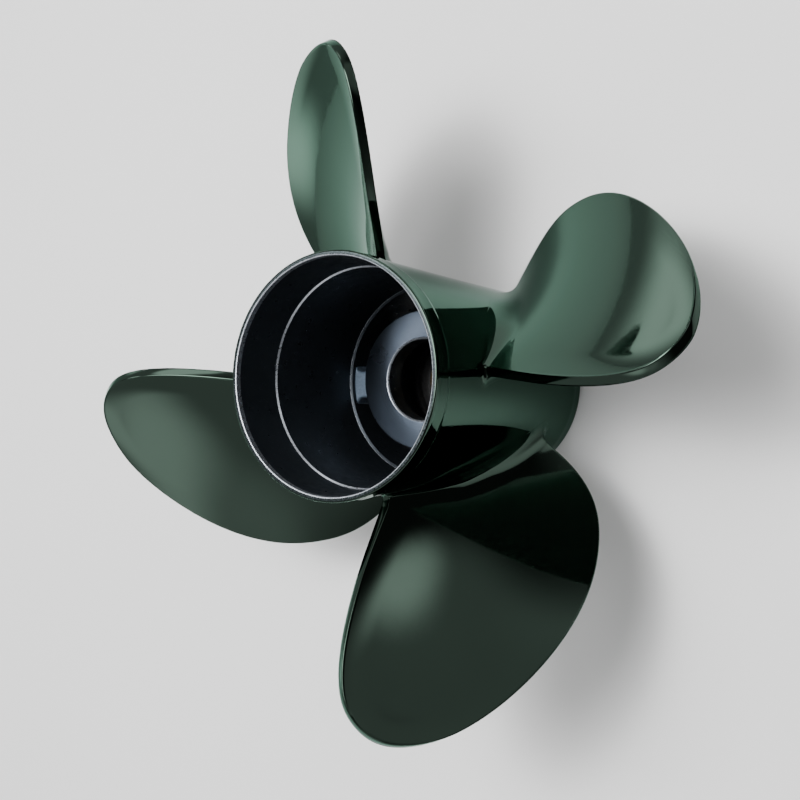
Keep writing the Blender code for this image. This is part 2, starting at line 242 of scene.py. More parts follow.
# Blades, how fine their mesh is
BLADE_ROWS = 110
BLADE_COLUMNS = 84
ROW_CROWDING = 0.25
COLUMN_CROWDING = 0.6
FILLET_ROWS = 16
FILLET_TURNS = np.pi / 2.0 * np.arange(FILLET_ROWS + 1) / FILLET_ROWS
CORNER_STEPS = 4
EDGE_SAMPLES = 2400
FOOT_SAMPLES = 120
CUP_STRIDE = 6
CUP_BATCH = 4000
NORMAL_STEP = 0.2 * MM
ROOT_ROUNDS = 14
SETTLE_ROUNDS = 3


def smooth_step(x):
    """Zero below 0, one above 1 and smooth between."""
    x = np.clip(x, 0.0, 1.0)
    return x * x * (3.0 - 2.0 * x)


def add_piece(name, verts, faces, materials, replaced, sharp_deg=35.0, face_slots=None):
    """Makes a piece that rides on the casting and stands for CAD nodes."""
    mesh = bpy.data.meshes.new(name)
    mesh.from_pydata([tuple(v) for v in verts], [], [tuple(f) for f in faces])
    for one in materials:
        mesh.materials.append(one)
    if face_slots is not None:
        mesh.polygons.foreach_set("material_index", face_slots)
    work = bmesh.new()
    work.from_mesh(mesh)
    bmesh.ops.recalc_face_normals(work, faces=work.faces)
    work.to_mesh(mesh)
    work.free()
    mesh.shade_smooth()
    mesh.set_sharp_from_angle(angle=math.radians(sharp_deg))
    made = bpy.data.objects.new(name, mesh)
    bpy.context.scene.collection.objects.link(made)
    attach(made, BODY)
    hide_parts(*replaced)
    return made


def lathe_mesh(profile, segments):
    """Points and faces of a closed profile turned round the shaft axis, and each face's profile point."""
    verts = []
    for k in range(segments):
        angle = 2.0 * math.pi * k / segments
        cos = math.cos(angle)
        sin = math.sin(angle)
        verts += [(r * cos, r * sin, z) for r, z in profile]
    count = len(profile)
    faces = []
    rings = []
    for k in range(segments):
        here = k * count
        there = ((k + 1) % segments) * count
        for i in range(count):
            j = (i + 1) % count
            faces.append((here + i, there + i, there + j, here + j))
            rings.append(i)
    return verts, faces, rings


def rounded(points, radii, steps=5):
    """The points of a closed profile, as radius and height, with each corner rounded by its radius."""
    count = len(points)
    made = []
    for i in range(count):
        here = Vector(points[i])
        if radii[i] <= 0.0:
            made.append(tuple(here))
            continue
        before = Vector(points[i - 1]) - here
        after = Vector(points[(i + 1) % count]) - here
        half = before.angle(after) / 2.0
        reach = min(radii[i] / math.tan(half), ROUNDING_REACH * before.length, ROUNDING_REACH * after.length)
        start = here + before.normalized() * reach
        end = here + after.normalized() * reach
        for k in range(steps + 1):
            t = k / steps
            made.append(tuple((1 - t) ** 2 * start + 2 * t * (1 - t) * here + t * t * end))
    return made


def barrel_radius(height):
    """Outside radius of the barrel ahead of the aft band."""
    foot = BAND_FOOT_RADIUS + BAND_FLARE
    along = 1.0 - height / BARREL_LENGTH
    straight = foot + (FRONT_RADIUS - foot) * along
    return straight + (MID_RADIUS - (foot + FRONT_RADIUS) / 2.0) * 4.0 * along * (1.0 - along)


def barrel_outside():
    """Section of the barrel's outside, from the forward end to the rounding of the rim."""
    top = BARREL_LENGTH
    band = top - BAND_HEIGHT
    points = []
    for k in range(ROUNDING_STEPS + 1):
        turn = math.pi / 2.0 * k / ROUNDING_STEPS
        radius = FRONT_RADIUS - FRONT_ROUNDING * (1.0 - math.sin(turn))
        points.append((radius, FRONT_ROUNDING * (1.0 - math.cos(turn))))
    points.append((FRONT_RADIUS, FRONT_BAND_HEIGHT - FRONT_SLOPE_BEFORE))
    start = FRONT_BAND_HEIGHT + FRONT_SLOPE_AFTER
    end = band - BAND_RISE_START
    for k in range(BARREL_STEPS + 1):
        height = start + (end - start) * k / BARREL_STEPS
        points.append((barrel_radius(height), height))
    low = barrel_radius(end)
    for k in range(1, BAND_RISE_STEPS + 1):
        share = k / BAND_RISE_STEPS
        radius = low + (barrel_radius(band) + BAND_STEP - low) * smooth_step(share)
        points.append((radius, end + BAND_RISE_LENGTH * share))
    points.append((RIM_RADIUS - BAND_TOP_INSET, top - BAND_TOP_DEPTH))
    rim = [(RIM_RADIUS - LIP_INSET, top - LIP_DEPTH), (RIM_RADIUS, top), (RIM_BORE_RADIUS, top)]
    return points + rounded(rim, [0.0, LIP_ROUNDING, 0.0])[:-1]


def barrel_lip():
    """Section of the chamfer between the rim's aft face and its bore."""
    top = BARREL_LENGTH
    land = (RIM_BORE_RADIUS - RIM_LAND_TAPER, top - RIM_LAND_DEPTH)
    return rounded([(RIM_RADIUS, top), (RIM_BORE_RADIUS, top), land], [0.0, RIM_CHAMFER, 0.0])[1:-1]


def barrel_inside():
    """Section of the barrel's inside, from the rim's land over step and shoulder to the forward end."""
    top = BARREL_LENGTH
    step = top - STEP_DEPTH
    throat = top - THROAT_DEPTH
    corners = [
        (RIM_BORE_RADIUS - RIM_LAND_TAPER, top - RIM_LAND_DEPTH),
        (STEP_RADIUS + STEP_WIDTH, step + STEP_WIDTH * STEP_TOP_SHARE),
        (STEP_RADIUS, step + STEP_WIDTH * STEP_NOSE_SHARE),
        (THROAT_RADIUS, throat),
        (THROAT_RADIUS - THROAT_SHOULDER, throat - SHOULDER_SLOPE),
        (PASSAGE_RADIUS, PASSAGE_START),
        (PASSAGE_RADIUS + PASSAGE_FLARE, 0.0),
        (FRONT_RADIUS, 0.0),
    ]
    radii = [0.0, 0.25 * MM, 0.25 * MM, 0.3 * MM, 0.4 * MM, 0.3 * MM, 0.2 * MM, 0.0]
    return rounded(corners, radii, 4)[:-1]


def barrel_profile():
    """Closed section of the barrel wall, and where the machined rim and the inside begin."""
    outside = barrel_outside()
    lip = barrel_lip()
    return outside + lip + barrel_inside(), len(outside) - 1, len(outside) + len(lip)


def passage_radius(height):
    """Inside radius of the barrel beside the ribs."""
    low = PASSAGE_START
    high = BARREL_LENGTH - THROAT_DEPTH - SHOULDER_FOOT
    share = (height - low) / (high - low)
    return PASSAGE_RADIUS + (THROAT_RADIUS - THROAT_SHOULDER - PASSAGE_RADIUS) * share


def hub_radius(height):
    """Outside radius of the inner hub tube."""
    top = BARREL_LENGTH - HUB_AFT_DEPTH
    share = (height - HUB_FRONT_RECESS) / (top - HUB_FRONT_RECESS)
    return HUB_FRONT_RADIUS + (HUB_RADIUS - HUB_FRONT_RADIUS) * share


def barrel_surface(ring, height, first_machined, first_dark):
    """Which surface a ring of faces has, from its place in the profile and the height of its middle."""
    step = BARREL_LENGTH - STEP_DEPTH
    throat = BARREL_LENGTH - THROAT_DEPTH
    if ring < first_machined or (ring >= first_dark and height < FRONT_PAINT_HEIGHT):
        return PAINTED
    if ring == first_machined:
        return RIM_FACE
    on_step = step < height < step + STEP_BRIGHT_HEIGHT
    on_shoulder = throat - SHOULDER_BRIGHT_BELOW < height < throat + SHOULDER_BRIGHT_ABOVE
    if ring < first_dark or on_step or on_shoulder:
        return BRIGHT
    return DARK


def build_barrel(paint, machined, dark, rim):
    """Barrel wall with a painted outside, machined edges and shoulders, and a dark inside."""
    profile, first_machined, first_dark = barrel_profile()
    verts, faces, rings = lathe_mesh(profile, BARREL_SEGMENTS)
    kinds = []
    for ring in rings:
        middle = (profile[ring][1] + profile[(ring + 1) % len(profile)][1]) / 2.0
        kinds.append(barrel_surface(ring, middle, first_machined, first_dark))
    surfaces = (paint, machined, dark, rim)
    return add_piece("barrel_casting", verts, faces, surfaces, ("barrel",), 28.0, kinds)


def hub_surface(a, b):
    """Which surface the faces between two points of the hub tube's profile have."""
    top = BARREL_LENGTH - HUB_AFT_DEPTH
    low = min(a[1], b[1])
    if low > top - HUB_FACE_MARGIN and a[0] != b[0]:
        return HUB_TURNED
    near_bore = max(a[0], b[0]) < HUB_BORE_RADIUS + 2.0 * HUB_BORE_CHAMFER
    if near_bore and low > top - HUB_BORE_CHAMFER - HUB_CHAMFER_MARGIN:
        return HUB_CHAMFER
    return HUB_DARK


def build_hub(face, dark, machined):
    """Inner hub tube with a turned aft face and a bright chamfer round its bore."""
    top = BARREL_LENGTH - HUB_AFT_DEPTH
    bottom = HUB_FRONT_RECESS
    lip = top - HUB_LIP_LENGTH
    profile = rounded(
        [
            (BUSH_BORE_RADIUS + HUB_FRONT_CHAMFER, bottom),
            (HUB_FRONT_RADIUS, bottom),
            (HUB_RADIUS, top),
            (HUB_BORE_RADIUS + HUB_BORE_CHAMFER, top),
            (HUB_BORE_RADIUS, top - HUB_BORE_CHAMFER),
            (HUB_BORE_RADIUS, lip),
            (BUSH_BORE_RADIUS, lip - HUB_LIP_SLOPE),
            (BUSH_BORE_RADIUS, bottom + HUB_FRONT_CHAMFER),
        ],
        [0.2 * MM, HUB_ROUNDING, HUB_ROUNDING, 1.2 * MM, 0.5 * MM, 0.6 * MM, 0.6 * MM, 0.2 * MM],
    )
    verts, faces, rings = lathe_mesh(profile, HUB_SEGMENTS)
    kinds = [hub_surface(profile[ring], profile[(ring + 1) % len(profile)]) for ring in rings]
    surfaces = (face, dark, machined)
    return add_piece("inner_hub_tube", verts, faces, surfaces, ("inner_hub",), 40.0, kinds)


def rib_loop(height, inset):
    """Points round a rib that lies along +X at one height, outer end first."""
    half = RIB_WIDTH / 2.0 - inset
    wide = half + RIB_FILLET
    steps = RIB_ARC_STEPS
    points = []
    for radius, sign in ((passage_radius(height) + RIB_SINK, 1.0), (hub_radius(height) - RIB_SINK, -1.0)):
        wall_x = math.sqrt(radius * radius - wide * wide)
        flank = []
        for k in range(steps, 0, -1):
            turn = math.pi / 2.0 * k / steps
            x = wall_x - sign * RIB_FILLET * (1.0 - math.cos(turn))
            flank.append((x, half + RIB_FILLET * (1.0 - math.sin(turn))))
        arc = []
        for k in range(steps + 1):
            y = wide * (1.0 - 2.0 * k / steps)
            arc.append((math.sqrt(radius * radius - y * y), y))
        end = flank + arc + [(x, -y) for x, y in reversed(flank)]
        points += [(x, sign * y) for x, y in end]
    return points


def build_rib(name, node, angle_deg, cast):
    """Rib with filleted flanks and a rounded aft edge."""
    top = BARREL_LENGTH - RIB_AFT_DEPTH
    length = top - RIB_ROUNDING - RIB_FRONT - RIB_FRONT_CHAMFER
    levels = [(RIB_FRONT, RIB_FRONT_INSET), (RIB_FRONT + RIB_FRONT_CHAMFER, 0.0)]
    for k in range(1, RIB_STEPS + 1):
        levels.append((RIB_FRONT + RIB_FRONT_CHAMFER + length * k / RIB_STEPS, 0.0))
    for k in range(1, ROUNDING_STEPS + 1):
        turn = math.pi / 2.0 * k / ROUNDING_STEPS
        levels.append((top - RIB_ROUNDING * (1.0 - math.sin(turn)), RIB_ROUNDING * (1.0 - math.cos(turn))))
    cos = math.cos(math.radians(angle_deg))
    sin = math.sin(math.radians(angle_deg))
    verts = []
    for height, inset in levels:
        verts += [(x * cos - y * sin, x * sin + y * cos, height) for x, y in rib_loop(height, inset)]
    count = len(verts) // len(levels)
    faces = [tuple(range(count)), tuple(range((len(levels) - 1) * count, len(levels) * count))]
    for level in range(len(levels) - 1):
        low = level * count
        for i in range(count):
            j = (i + 1) % count
            faces.append((low + i, low + j, low + count + j, low + count + i))
    return add_piece(name, verts, faces, (cast,), (node,), 50.0)


def build_bush(rubber):
    """Rubber bush with moulded grooves in its end faces."""
    outer = BUSH_BORE_RADIUS - BUSH_CLEARANCE
    inner = SLEEVE_RADIUS + BUSH_CLEARANCE
    groove = (BUSH_BORE_RADIUS + SLEEVE_RADIUS) / 2.0
    wide = GROOVE_HALF_WIDTH
    mouth = GROOVE_HALF_WIDTH * GROOVE_FLARE
    corners = [
        (groove - wide, BUSH_BOTTOM + GROOVE_DEPTH),
        (groove + wide, BUSH_BOTTOM + GROOVE_DEPTH),
        (groove + mouth, BUSH_BOTTOM),
        (outer, BUSH_BOTTOM),
        (outer, BUSH_TOP),
        (groove + mouth, BUSH_TOP),
        (groove + wide, BUSH_TOP - GROOVE_DEPTH),
        (groove - wide, BUSH_TOP - GROOVE_DEPTH),
        (groove - mouth, BUSH_TOP),
        (inner, BUSH_TOP),
        (inner, BUSH_BOTTOM),
        (groove - mouth, BUSH_BOTTOM),
    ]
    profile = rounded(corners, [BUSH_ROUNDING] * len(corners), 4)
    verts, faces, _ = lathe_mesh(profile, HUB_SEGMENTS)
    return add_piece("rubber_bush_ring", verts, faces, (rubber,), ("rubber_bush",), 40.0)


def build_sleeve(brass):
    """Brass sleeve with internal spline teeth and chamfered ends."""
    count = SPLINE_TEETH * TOOTH_SAMPLES
    angle = 2.0 * np.pi * np.arange(count) / count
    wave = np.clip(0.5 + TOOTH_FLANK * np.cos(SPLINE_TEETH * angle), 0.0, 1.0)
    teeth = SPLINE_MINOR_RADIUS + (SPLINE_MAJOR_RADIUS - SPLINE_MINOR_RADIUS) * wave
    edge = SLEEVE_CHAMFER
    wide = SPLINE_MAJOR_RADIUS + SPLINE_RELIEF
    rings = [
        (np.full(count, SLEEVE_RADIUS - edge), SLEEVE_BOTTOM),
        (np.full(count, SLEEVE_RADIUS), SLEEVE_BOTTOM + edge),
        (np.full(count, SLEEVE_RADIUS), SLEEVE_TOP - edge),
        (np.full(count, SLEEVE_RADIUS - edge), SLEEVE_TOP),
        (np.full(count, wide), SLEEVE_TOP),
        (np.maximum(teeth, wide - SPLINE_CHAMFER), SLEEVE_TOP - SPLINE_CHAMFER * 0.7),
        (teeth, SLEEVE_TOP - SPLINE_CHAMFER * 1.5),
        (teeth, SLEEVE_BOTTOM + SPLINE_CHAMFER * 1.5),
        (np.maximum(teeth, wide - SPLINE_CHAMFER), SLEEVE_BOTTOM + SPLINE_CHAMFER * 0.7),
        (np.full(count, wide), SLEEVE_BOTTOM),
    ]
    verts = []
    for radius, height in rings:
        verts += list(zip(radius * np.cos(angle), radius * np.sin(angle), np.full(count, height)))
    faces = []
    for i in range(len(rings)):
        low = i * count
        high = ((i + 1) % len(rings)) * count
        for k in range(count):
            j = (k + 1) % count
            faces.append((low + k, low + j, high + j, high + k))
    return add_piece("spline_sleeve", verts, faces, (brass,), ("splined_sleeve",), 30.0)


class Blade:
    """Blade 1: its outline, and its aft face as heights over the plan."""

    def __init__(self):
        curve = self.edge_curve(EDGE_SAMPLES) * OUTLINE_TRIM
        self.tip = int(np.argmax(np.hypot(curve[:, 0], curve[:, 1])))
        turn = math.radians(LEADING_ROOT_ANGLE)
        last = np.array([[math.cos(turn), math.sin(turn)]]) * LEADING_ROOT_RADIUS
        foot = curve[-1] + (last - curve[-1]) * np.linspace(0.0, 1.0, FOOT_SAMPLES)[1:, None]
        self.outline = np.vstack([curve, foot])
        radius = np.hypot(self.outline[:, 0], self.outline[:, 1])
        angle = np.arctan2(self.outline[:, 1], self.outline[:, 0])
        self.trailing = (radius[: self.tip + 1], angle[: self.tip + 1])
        self.leading = (radius[self.tip:][::-1], angle[self.tip:][::-1])
        steps = np.linalg.norm(np.diff(self.outline, axis=0), axis=1)
        self.length = np.concatenate([[0.0], np.cumsum(steps)])

    @staticmethod
    def edge_curve(samples):
        """Outline as a clamped cubic curve through its control points, in plan."""
        radius = np.array([p[0] for p in EDGE_POINTS]) * MM
        angle = np.radians([p[1] for p in EDGE_POINTS])
        points = np.stack([radius * np.cos(angle), radius * np.sin(angle)], axis=1)
        spans = len(points) - 3
        knots = np.concatenate([np.zeros(3), np.arange(spans + 1) / spans, np.ones(3)])
        made = []
        for n in range(samples + 1):
            u = n / samples
            span = min(int(u * spans), spans - 1) + 3
            work = [points[span - 3 + i].copy() for i in range(4)]
            for level in range(1, 4):
                for i in range(3, level - 1, -1):
                    left = knots[span - 3 + i]
                    right = knots[span + 1 + i - level]
                    share = (u - left) / (right - left)
                    work[i] = work[i - 1] + (work[i] - work[i - 1]) * share
            made.append(work[3])
        return np.array(made)

    def angles(self, radius):
        """Trailing and leading edge angles at some radii."""
        return np.interp(radius, *self.trailing), np.interp(radius, *self.leading)

    def cup(self, x, y):
        """Rise of the face along the trailing edge and round the tip."""
        flat_x = np.ravel(x)
        flat_y = np.ravel(y)
        rise = np.zeros(len(flat_x))
        sparse = self.outline[::CUP_STRIDE]
        heading = np.gradient(sparse, axis=0)
        heading /= np.linalg.norm(heading, axis=1, keepdims=True)
        along = self.length[::CUP_STRIDE]
        tip_length = self.length[self.tip]
        for start in range(0, len(flat_x), CUP_BATCH):
            part = slice(start, start + CUP_BATCH)
            dx = flat_x[part, None] - sparse[None, :, 0]
            dy = flat_y[part, None] - sparse[None, :, 1]
            away = dx * dx + dy * dy
            near = np.argmin(away, axis=1)
            picked = np.arange(len(near))
            gap = np.abs(dx[picked, near] * heading[near, 1] - dy[picked, near] * heading[near, 0])
            fade = 1.0 - smooth_step((along[near] - tip_length - CUP_FADE_START) / CUP_FADE_LENGTH)
            rise[part] = fade * np.clip(1.0 - gap / CUP_WIDTH, 0.0, 1.0) ** 2
        radius = np.hypot(flat_x, flat_y)
        rise *= smooth_step((radius - CUP_START_RADIUS) / (CUP_FULL_RADIUS - CUP_START_RADIUS))
        return CUP_HEIGHT * rise.reshape(np.shape(x))

    @staticmethod
    def bare_height(radius, angle):
        """Height of the aft face without its cup."""
        s = (radius - RIM_RADIUS) / RADIAL_UNIT
        depth = FACE_DEPTH + RAKE[0] * s + RAKE[1] * s * s + RAKE[2] * s * s * s
        lead = (PITCH_ROOT + (PITCH_TIP - PITCH_ROOT) * s) / (2.0 * math.pi)
        return BARREL_LENGTH - depth - lead * angle

    def height(self, x, y):
        """Height of the aft face."""
        return self.bare_height(np.hypot(x, y), np.arctan2(y, x)) + self.cup(x, y)

    def face(self, x, y):
        """Points of the aft face and their normals."""
        return np.stack([x, y, self.height(x, y)], axis=-1), self.normal(x, y)

    def normal(self, x, y):
        """Unit normals of the aft face, pointing aft."""
        step = NORMAL_STEP
        slope_x = (self.height(x + step, y) - self.height(x - step, y)) / (2.0 * step)
        slope_y = (self.height(x, y + step) - self.height(x, y - step)) / (2.0 * step)
        made = np.stack([-slope_x, -slope_y, np.ones_like(slope_x)], axis=-1)
        return made / np.linalg.norm(made, axis=-1, keepdims=True)

    def root_radius(self, v, above):
        """Radius at which a chord place of the face is some height above the barrel."""
        radius = np.full(np.shape(v), MID_RADIUS) + above
        for _ in range(ROOT_ROUNDS):
            start, end = self.angles(radius)
            radius = barrel_radius(self.bare_height(radius, start + (end - start) * v)) + above
        return radius

    def along(self, length):
        """Points at some lengths along the outline."""
        return np.stack([np.interp(length, self.length, self.outline[:, c]) for c in range(2)], axis=-1)

    def tip_arc(self):
        """Lengths along the outline where the arc round the tip starts and ends, and the length between."""
        arc = TIP_ARC_SHARE * self.length[-1]
        return self.length[self.tip] - arc / 2.0, self.length[self.tip] + arc / 2.0, arc

    def sides(self, base, share):
        """Lines up the trailing and the leading edge, from the ends of a row to the arc round the tip."""
        radius = np.hypot(*self.outline.T)
        first = np.interp(np.hypot(*base[0]), radius[: self.tip], self.length[: self.tip])
        last = np.interp(-np.hypot(*base[-1]), -radius[self.tip:], self.length[self.tip:])
        start, end, _ = self.tip_arc()
        return self.along(first + (start - first) * share), self.along(last + (end - last) * share)


def fillet_radius(v):
    """Radius of the root fillet from the trailing to the leading edge."""
    rise = smooth_step(v / FILLET_MIDDLE_FROM)
    fall = smooth_step((v - FILLET_MIDDLE_TO) / (1.0 - FILLET_MIDDLE_TO))
    middle = TRAILING_FILLET + (MIDDLE_FILLET - TRAILING_FILLET) * rise
    return middle + (LEADING_FILLET - MIDDLE_FILLET) * fall


def root_rows(blade, v):
    """Plan of the rows in the root fillet, and how far each stands above the barrel."""
    rows = []
    rises = []
    for turn in FILLET_TURNS:
        above = fillet_radius(v) * (1.0 - np.cos(turn))
        radius = blade.root_radius(v, above)
        start, end = blade.angles(radius)
        angle = start + (end - start) * v
        rows.append(np.stack([radius * np.cos(angle), radius * np.sin(angle)], axis=1))
        rises.append(above)
    return rows, rises


def blade_grid(blade):
    """Plan of the aft face as a grid, root to tip by trailing to leading edge, and the root rows' heights."""
    even = np.linspace(0.0, 1.0, BLADE_COLUMNS + 1)
    v = COLUMN_CROWDING * (0.5 - 0.5 * np.cos(np.pi * even)) + (1.0 - COLUMN_CROWDING) * even
    rows, rises = root_rows(blade, v)
    base = rows[-1]
    u = np.linspace(0.0, 1.0, BLADE_ROWS + 1)
    u = ROW_CROWDING * u ** 2 + (1.0 - ROW_CROWDING) * u
    left, right = blade.sides(base, u)
    start, _, arc = blade.tip_arc()
    top = blade.along(start + arc * v)
    flat_base = base[0] + (base[-1] - base[0]) * v[:, None]
    flat_top = top[0] + (top[-1] - top[0]) * v[:, None]
    for k in range(1, BLADE_ROWS + 1):
        across = left[k] + (right[k] - left[k]) * v[:, None]
        rows.append(across + (base - flat_base) * (1.0 - u[k]) + (top - flat_top) * u[k])
    return np.array(rows), v, np.array(rises)


def spread_moves(moves, rows, columns, t, v):
    """Carries moves of the boundary evenly into the grid, so that rows and columns keep their order."""
    left = moves[:rows]
    top = moves[rows - 1: rows - 1 + columns]
    right = moves[rows + columns - 2:][::-1]
    across = left[:, None] + (right - left)[:, None] * v[None, :, None]
    flat_top = top[0] + (top[-1] - top[0]) * v[:, None]
    return across + t[..., None] * (top - flat_top)[None]


def blade_thickness(x, y, t, v):
    """Thickness of the blade over its grid, thinning from root to tip and from the middle to the edges."""
    tip = np.clip((np.hypot(x, y) - MID_RADIUS) / THINNING_REACH, 0.0, 1.0)
    thick = TIP_THICKNESS + (ROOT_THICKNESS - TIP_THICKNESS) * (1.0 - tip) ** THINNING_POWER
    ends = TRAILING_THICKNESS + (LEADING_THICKNESS - TRAILING_THICKNESS) * v[None, :]
    hump = 4.0 * v * (1.0 - v)
    return ends + np.maximum(thick - ends, 0.0) * hump[None, :] * (1.0 - t ** HUMP_POWER)


def boundary(rows, columns):
    """Grid places up the trailing edge, round the tip and down the leading edge."""
    ring = [(i, 0) for i in range(rows)]
    ring += [(rows - 1, j) for j in range(1, columns)]
    ring += [(i, columns - 1) for i in range(rows - 2, -1, -1)]
    return np.array([r[0] for r in ring]), np.array([r[1] for r in ring])


def outward_of(edge, up, middle):
    """Unit directions away from the middle of the blade along its edge."""
    out = np.cross(np.gradient(edge, axis=0), up)
    out /= np.linalg.norm(out, axis=1, keepdims=True)
    return -out if np.sum(out * (edge - middle)) < 0.0 else out


def edge_strip(edge, up, out, thin, rounding, slant):
    """Lines along the blade's slanted edge from the aft to the forward face, and their normals."""
    lines = []
    normals = []

    def add(drop, inward, normal):
        lines.append(edge - out * inward[:, None] - up * drop[:, None])
        normals.append(normal)

    turns = [math.pi / 2.0 * k / CORNER_STEPS for k in range(1, CORNER_STEPS + 1)]
    for a in turns:
        drop = rounding * (1.0 - math.cos(a))
        inward = rounding * (1.0 - math.sin(a)) + slant * (1.0 - drop / thin)
        add(drop, inward, out * math.sin(a) + up * math.cos(a))
    add(thin * 0.5, slant * 0.5, out)
    for a in reversed(turns):
        drop = thin - rounding * (1.0 - math.cos(a))
        inward = rounding * (1.0 - math.sin(a)) + slant * (1.0 - drop / thin)
        add(drop, inward, out * math.sin(a) - up * math.cos(a))
    return lines, normals


def set_on_barrel(points, level):
    """Moves points along their radii to some height above the barrel."""
    here = np.hypot(points[:, 0], points[:, 1])
    want = barrel_radius(points[:, 2]) + level
    points[:, :2] *= (want / here)[:, None]


def spread_root(points, outward, row_of, fillets, levels):
    """Spreads the lowest rows of some points into the root fillet, on the barrel."""
    made = points.copy()
    for k, turn in enumerate(FILLET_TURNS):
        chosen = row_of == k
        if not np.any(chosen):
            continue
        grow = fillets[chosen] * (1.0 - math.sin(turn))
        moved = points[chosen] + outward[chosen] * grow[:, None]
        for _ in range(SETTLE_ROUNDS):
            set_on_barrel(moved, levels[chosen])
        made[chosen] = moved
    return made


def blade_mesh(blade):
    """Points and faces of blade 1 as one closed surface with a slanted trailing edge and root fillets."""
    plan, v, rises = blade_grid(blade)
    rows, columns = plan.shape[:2]
    x = plan[..., 0]
    y = plan[..., 1]
    t = np.clip((np.arange(rows) - FILLET_ROWS) / BLADE_ROWS, 0.0, 1.0)[:, None]
    depth = blade_thickness(x, y, t, v)
    face, normal = blade.face(x, y)
    index = boundary(rows, columns)
    edge = face[index]
    up = normal[index]
    out = outward_of(edge, up, face[rows // 2, columns // 2])
    thin = depth[index]
    rounding = np.minimum(EDGE_ROUNDING, thin * EDGE_ROUNDING_SHARE)
    blunt = (thin - LEADING_THICKNESS) / (TRAILING_THICKNESS - LEADING_THICKNESS)
    slant = np.clip(blunt, 0.0, 1.0) * EDGE_SLANT

    def drawn_in(amount):
        """The aft face and its normals, with the whole grid drawn in from the boundary."""
        moves = spread_moves(-out[:, :2] * amount[:, None], rows, columns, t, v)
        return blade.face(x + moves[..., 0], y + moves[..., 1])

    aft, aft_normal = drawn_in(rounding + slant)
    low, low_normal = drawn_in(rounding)
    forward = low - low_normal * depth[..., None]
    strip, normals = edge_strip(edge, up, out, thin, rounding, slant)

    row_of = np.repeat(np.arange(rows)[:, None], columns, axis=1)
    fillets = np.repeat(fillet_radius(v)[None, :], rows, axis=0)
    levels = np.zeros((rows, columns))
    levels[: FILLET_ROWS + 1] = rises
    aft = spread_root(aft, aft_normal, row_of, fillets, levels)
    forward = spread_root(forward, -low_normal, row_of, fillets, levels)
    strip = [spread_root(s, n, row_of[index], fillets[index], levels[index]) for s, n in zip(strip, normals)]
    return close_blade(aft, forward, strip, index, rows, columns)


def close_blade(aft, forward, strip, index, rows, columns):
    """Joins the two faces, the edge strip and the root into one closed mesh."""
    verts = list(aft.reshape(-1, 3)) + list(forward.reshape(-1, 3))
    size = rows * columns
    faces = []
    for i in range(rows - 1):
        for j in range(columns - 1):
            a = i * columns + j
            faces.append((a, a + 1, a + columns + 1, a + columns))
            faces.append((size + a, size + a + columns, size + a + columns + 1, size + a + 1))
    ring_aft = [int(i * columns + j) for i, j in zip(*index)]
    rings = [ring_aft]
    for s in strip:
        rings.append(list(range(len(verts), len(verts) + len(s))))
        verts += list(s)
    rings.append([size + k for k in ring_aft])
    for upper, lower in zip(rings, rings[1:]):
        for k in range(len(upper) - 1):
            faces.append((upper[k], upper[k + 1], lower[k + 1], lower[k]))
    lowest, above = root_loops(rings[1:-1], columns, size)
    inner = add_skirt(verts, faces, lowest, above)
    close_root(faces, inner, columns, len(strip))
    return verts, faces


def root_loops(strip, columns, size):
    """The root's loop along aft face, leading edge, forward face and trailing edge, and the loop above it."""
    there = range(columns)
    back = range(columns - 1, -1, -1)
    lowest = list(there) + [r[-1] for r in strip] + [size + j for j in back] + [r[0] for r in reversed(strip)]
    above = [columns + j for j in there] + [r[-2] for r in strip]
    above += [size + columns + j for j in back] + [r[1] for r in reversed(strip)]
    return lowest, above


def add_skirt(verts, faces, loop, above):
    """Sets the root on the barrel, adds a skirt that runs into it and returns the skirt's last loop."""
    points = np.array([verts[k] for k in loop])
    away = points - np.array([verts[k] for k in above])
    along = np.roll(points, -1, axis=0) - np.roll(points, 1, axis=0)
    radial = points * np.array([1.0, 1.0, 0.0])
    radial /= np.linalg.norm(radial, axis=1, keepdims=True)
    outward = np.cross(along, radial)
    outward /= np.linalg.norm(outward, axis=1, keepdims=True)
    if np.sum(outward * away) < 0.0:
        outward = -outward
    foot = points.copy()
    set_on_barrel(foot, SKIRT_LIFT)
    for k, point in zip(loop, foot):
        verts[k] = point
    for reach, level in ((SKIRT, SKIRT_LIFT * 0.5), (SKIRT * SKIRT_FOOT, -SKIRT_SINK)):
        moved = points + outward * reach
        set_on_barrel(moved, level)
        current = list(range(len(verts), len(verts) + len(moved)))
        verts += list(moved)
        for k in range(len(loop)):
            n = (k + 1) % len(loop)
            faces.append((loop[k], loop[n], current[n], current[k]))
        loop = current
    return loop


def close_root(faces, loop, columns, side):
    """Closes the blade inside the barrel, with faces across its last loop and one at each end."""
    top = loop[:columns]
    bottom = loop[columns + side: 2 * columns + side][::-1]
    for j in range(columns - 1):
        faces.append((top[j], top[j + 1], bottom[j + 1], bottom[j]))
    faces.append(tuple([top[-1]] + loop[columns: columns + side] + [bottom[-1]]))
    faces.append(tuple([bottom[0]] + loop[2 * columns + side:] + [top[0]]))


def build_blades(paint):
    """The four blades, each a turned copy of the first."""
    verts, faces = blade_mesh(Blade())
    verts = np.array(verts)
    made = []
    for index in range(BLADE_COUNT):
        angle = 2.0 * math.pi * index / BLADE_COUNT
        cos = math.cos(angle)
        sin = math.sin(angle)
        x, y, z = verts.T
        turned = np.stack([x * cos - y * sin, x * sin + y * cos, z], axis=1)
        name = "blade_" + str(index + 1)
        made.append(add_piece("cast_" + name, turned, faces, (paint,), (name,), 60.0))
    return made


